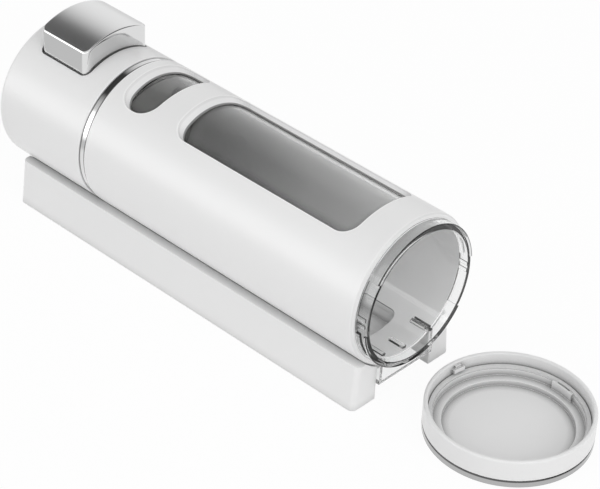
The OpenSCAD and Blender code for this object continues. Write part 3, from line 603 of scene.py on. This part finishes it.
class DISPENSER_OT_push_button(bpy.types.Operator):
    """Builds the arched chrome push button with its softened edges"""

    bl_idname = "dispenser.push_button"
    bl_label = "Push button"

    # How many rings each stretch of the cap's skin has, counting the one that it starts from
    top_rings = 22
    fillet_rings = 7
    side_rings = 10
    inner_rings = 8
    roof_rings = 14

    def execute(self, context):
        sizes = context.scene.dispenser
        polished = chrome_plate("chrome_sides", sizes.chrome, 0.04, 0.05 * MM)
        # Satin top, its chrome painted 1.12 times lighter than the sides' as painted light
        satin_and_painted_light = chrome_plate("chrome_top", 1.12 * sizes.chrome, 0.28, 0.05 * MM)
        under_roof = self.arch(SEAT_R) - SEAT_COVER_SHARE * CAP_WALL
        points, faces = joined(
            self.cap(sizes.fillet),
            self.sleeve(BOSS_R, SPRING_SEAT - BOSS_LENGTH, SPRING_SEAT + BOSS_OVERLAP),
            self.sleeve(SEAT_R, SPRING_SEAT, under_roof),
        )
        piece = mesh_piece("push_button", points, faces, polished, "button")
        piece.data.materials.append(satin_and_painted_light)
        for face in piece.data.polygons:
            face.material_index = int(face.normal.z > 0.85)
        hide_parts("button_cap")
        return {"FINISHED"}

    def arch(self, y, rise=0.0):
        """Height of the arched top at a distance y from the middle, under the crown by `rise`."""
        return CAP_HIGH[2] - CROWN_R + np.sqrt((CROWN_R - rise) ** 2 - y ** 2)

    def cap(self, fillet):
        """The thin-walled cap as one closed skin of rings.

        A ring is the button's outline, drawn in by an inset and set at a height. From the middle
        line of the top the rings grow at the arch's height, turn down round the fillet by its
        cosine and sine, run down the side, round the lip, and come back up inside under the roof.
        """
        half = np.array([CAP_HIGH[0] - CAP_LOW[0], CAP_HIGH[1] - CAP_LOW[1]]) / 2 - CAP_LIP
        foot = CAP_LOW[2]

        def outline(inset):
            corner = max(CAP_CORNER - inset, 0.0)
            return round_rectangle(half[0] - inset, half[1] - inset, corner)

        rings = []
        for inset in np.linspace(half[0], fillet, self.top_rings):
            rings.append((outline(inset), self.arch(outline(inset)[:, 1])))
        for turn in np.linspace(0.0, math.pi / 2, self.fillet_rings)[1:]:
            ring = outline(fillet * (1 - math.sin(turn)))
            rings.append((ring, self.arch(ring[:, 1]) - fillet * (1 - math.cos(turn))))
        side = outline(0.0)
        top = rings[-1][1]
        low = foot + CAP_LIP_T + LIP_ROOT
        for share in np.linspace(0.0, 1.0, self.side_rings)[1:]:
            rings.append((side, top * (1 - share) + low * share))
        for inset, height in (
            (0.0, CAP_LIP_T),
            (LIP_EDGE - CAP_LIP, CAP_LIP_T),
            (-CAP_LIP, CAP_LIP_T - LIP_EDGE),
            (-CAP_LIP, LIP_EDGE),
            (LIP_EDGE - CAP_LIP, 0.0),
            (CAP_WALL, 0.0),
        ):
            rings.append((outline(inset), np.full(len(side), foot + height)))
        inner = outline(CAP_WALL)
        roof = self.arch(inner[:, 1], CAP_WALL)
        for share in np.linspace(0.0, 1.0, self.inner_rings)[1:]:
            rings.append((inner, foot * (1 - share) + roof * share))
        for inset in np.linspace(CAP_WALL, half[0], self.roof_rings)[1:]:
            rings.append((outline(inset), self.arch(outline(inset)[:, 1], CAP_WALL)))
        points = np.stack([np.column_stack([ring + CAP_CENTRE, height]) for ring, height in rings])
        return points.reshape(-1, 3), ring_faces(len(rings), len(side))

    def sleeve(self, outer, low, high):
        """An upright sleeve round the rod's hole, between two heights."""
        profile = [(ROD_HOLE_R, low), (outer, low), (outer, high), (ROD_HOLE_R, high)]
        return turned(profile, CAP_CENTRE)


class DISPENSER_OT_return_spring(bpy.types.Operator):
    """Winds the return spring, which the button squeezes against the pump gland"""

    bl_idname = "dispenser.return_spring"
    bl_label = "Return spring"

    def execute(self, context):
        low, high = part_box("return_spring")
        centre = CAP_CENTRE
        radius = (high[1] - low[1] - SPRING_WIRE) / 2
        points, faces = coil(low[2], high[2], centre, radius, SPRING_WIRE, SPRING_TURNS)
        steel = turned_steel("spring_wire", 0.58, 0.22)
        piece = mesh_piece("spring_coil", points, faces, steel, "button")
        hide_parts("return_spring")
        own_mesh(piece)
        return {"FINISHED"}


class DISPENSER_OT_inner_parts(bpy.types.Operator):
    """Finishes the chassis, the pump, the screws and the seals"""

    bl_idname = "dispenser.inner_parts"
    bl_label = "Inner parts"

    def execute(self, context):
        natural = moulded_plastic(
            "natural_plastic", 0.72, 0.2 * MM, roughness=0.45, tint=(1.0, 1.0, 0.97))
        screws = turned_steel("plated_screws", 0.5, 0.3)
        seals = soft_rubber("black_seals", 0.03, 0.6)
        silicone = soft_rubber("silicone", 0.74, 0.4)
        finish_nodes(natural, ["chassis", "pump_barrel", "pump_gland", "plunger", "nozzle"])
        finish_nodes(screws, ["chassis_screws", "head_screws", "pump_screws"])
        finish_nodes(seals, ["rod_wiper", "neck_seal", "piston_seal"])
        finish_nodes(silicone, ["inlet_valve", "outlet_valve", "lid_gasket"])
        return {"FINISHED"}


class DISPENSER_OT_studio(bpy.types.Operator):
    """Sets the camera, the soft lights, the pale floor and the white surroundings"""

    bl_idname = "dispenser.studio"
    bl_label = "Studio"

    def execute(self, context):
        scene = context.scene
        scene.view_settings.view_transform = "Standard"
        for name, count in BOUNCES.items():
            setattr(scene.cycles, name, count)
        self.camera(scene)
        self.floor()
        self.surroundings(scene)
        self.lamps(scene)
        return {"FINISHED"}

    def camera(self, scene):
        """Puts the camera where the photograph was taken from."""
        data = bpy.data.cameras.new("camera")
        data.lens = CAMERA_LENS
        data.sensor_width = CAMERA_SENSOR
        data.sensor_fit = "HORIZONTAL"
        data.clip_end = 20.0
        camera = bpy.data.objects.new("camera", data)
        axes = Matrix((CAMERA_RIGHT, CAMERA_UP, CAMERA_BACK)).transposed()
        turn = axes.to_quaternion().to_matrix().to_4x4()
        camera.matrix_world = Matrix.Translation(CAMERA_PLACE) @ turn
        scene.collection.objects.link(camera)
        scene.camera = camera

    def floor(self):
        """A pale floor that looks white to the camera and keeps a faint shadow.

        Mirrors see it brighten towards the left, with a duller card beyond the head's end.
        """
        finish = Finish(bpy.data.materials.new("pale_floor"))
        lit = finish.add("ShaderNodeBsdfDiffuse", None, {"Color": (0.9, 0.9, 0.9, 1.0)})
        along, across = finish.along("X"), finish.along("Y")
        card = finish.ease(along, *CARD_X) * finish.ease(across, *CARD_Y)
        glossy = finish.ray("Glossy")
        level = glossy * (finish.ease(across, *FLOOR_BRIGHTENS_Y) * 2.2 - card * 0.32) + 1.0
        glow = finish.add("ShaderNodeEmission", None,
                          {"Color": finish.grey(level), "Strength": 1.0})
        seen = finish.ray("Camera").math("MAXIMUM", finish.ray("Transmission"))
        share = seen.math("MAXIMUM", glossy) * 0.95
        material = finish.close(finish.mix(share, lit, glow))
        mesh = bpy.data.meshes.new("floor")
        half = FLOOR_HALF
        corners = [(-half, -half, 0), (half, -half, 0), (half, half, 0), (-half, half, 0)]
        mesh.from_pydata(corners, [], [(0, 1, 2, 3)])
        mesh.materials.append(material)
        floor = bpy.data.objects.new("floor", mesh)
        bpy.context.scene.collection.objects.link(floor)

    def surroundings(self, scene):
        """White surroundings, dimmer as a light. Rays inside clear plastic see them white.

        Mirrors also see a dark gap overhead, another high on the right and a bright box on the
        left.
        """
        world = bpy.data.worlds.new("studio")
        scene.world = world
        finish = Finish(world)
        white = (1.0, 1.0, 1.0, 1.0)
        heading = finish.add("ShaderNodeTexCoord", out="Generated")
        overhead = finish.cosine(heading, OVERHEAD_GAP)
        right = finish.cosine(heading, RIGHT_GAP)
        left = finish.cosine(heading, LEFT_BOX)
        shade = finish.add("ShaderNodeValToRGB", {"stops": OVERHEAD_STOPS}, {0: overhead})
        shade = shade * finish.ease(right, *RIGHT_GAP_EASE)
        shade = shade + finish.ease(left, *LEFT_BOX_EASE)
        inside = finish.add("ShaderNodeLightPath", out="Transmission Depth")
        inside = inside.math("GREATER_THAN", 0.5)
        seen = finish.ray("Camera").math("MAXIMUM", finish.ray("Transmission"))
        lit = finish.mix(seen, finish.emit(white, AMBIENT), finish.emit(white))
        open_air = finish.mix(inside, lit, finish.emit(white))
        mirrored = finish.ray("Glossy") * (1.0 - inside)
        finish.close(finish.mix(mirrored, open_air, finish.emit(shade)))

    def lamps(self, scene):
        """Two large soft boxes that face the dispenser: one on the left and one past the mouth."""
        for name, place, size, power in LAMPS:
            data = bpy.data.lights.new(name, "AREA")
            data.shape = "DISK"
            data.size = size
            data.energy = power * scene.dispenser.key
            lamp = bpy.data.objects.new(name, data)
            lamp.visible_glossy = False
            lamp.location = place
            lamp.rotation_euler = Vector(place).to_track_quat("Z", "Y").to_euler()
            scene.collection.objects.link(lamp)


class DISPENSER_PT_panel(bpy.types.Panel):
    """Lists the dispenser's settings and pieces in the sidebar"""

    bl_idname = "DISPENSER_PT_panel"
    bl_label = "Soap dispenser"
    bl_space_type = "VIEW_3D"
    bl_region_type = "UI"
    bl_category = "Dispenser"

    def draw(self, context):
        for name in DispenserSizes.__annotations__:
            self.layout.prop(context.scene.dispenser, name)
        for piece in PIECES:
            self.layout.operator(piece.bl_idname)


PIECES = (
    DISPENSER_OT_studio,
    DISPENSER_OT_white_parts,
    DISPENSER_OT_clear_tank,
    DISPENSER_OT_chrome_parts,
    DISPENSER_OT_push_button,
    DISPENSER_OT_return_spring,
    DISPENSER_OT_inner_parts,
)
CLASSES = (DispenserSizes, *PIECES, DISPENSER_PT_panel)


def register():
    for entry in CLASSES:
        bpy.utils.register_class(entry)
    bpy.types.Scene.dispenser = bpy.props.PointerProperty(type=DispenserSizes)


def unregister():
    del bpy.types.Scene.dispenser
    for entry in reversed(CLASSES):
        bpy.utils.unregister_class(entry)


def main():
    register()
    for piece in PIECES:
        group, name = piece.bl_idname.split(".")
        getattr(getattr(bpy.ops, group), name)()


if __name__ == "__main__":
    main()
